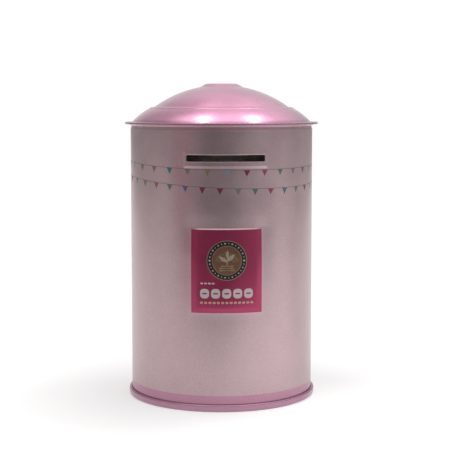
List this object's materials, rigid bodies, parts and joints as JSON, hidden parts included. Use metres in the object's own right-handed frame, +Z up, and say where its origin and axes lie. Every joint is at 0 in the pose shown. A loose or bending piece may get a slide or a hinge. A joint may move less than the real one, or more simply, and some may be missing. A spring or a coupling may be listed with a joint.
{
  "type": "tin money box",
  "caption": "Round tinplate money box with a coin slot high in its wall, a double-seamed base and a domed plug lid that lifts off.",
  "frame": {"origin": "centre of the ring that the tin stands on, at the bottom", "axes": "+Z up along the tin's axis; -Y is the front, with the coin slot and the label panel; +X is to the right seen from the front"},
  "size_m": [0.0892, 0.0892, 0.144],
  "materials": {
    "pearl_tinplate": "pale pink pearl print over bright tinplate, varnished",
    "mauve_tinplate": "mauve metallic lacquer over bright tinplate",
    "pink_tinplate": "pink transparent lacquer over bright tinplate, glossy",
    "plain_tinplate": "plain bright tinplate, fine rolled grain"
  },
  "bodies": {
    "tin": {"body_wall": "pearl_tinplate", "base_end": "mauve_tinplate"},
    "lid": {"lid_dome": "pink_tinplate", "lid_plug_ring": "plain_tinplate"}
  },
  "joints": [
    {"name": "lid_lift", "type": "slide", "parent": "tin", "child": "lid", "axis": [0, 0, 1], "range_m": [0, 0.06]}
  ]
}
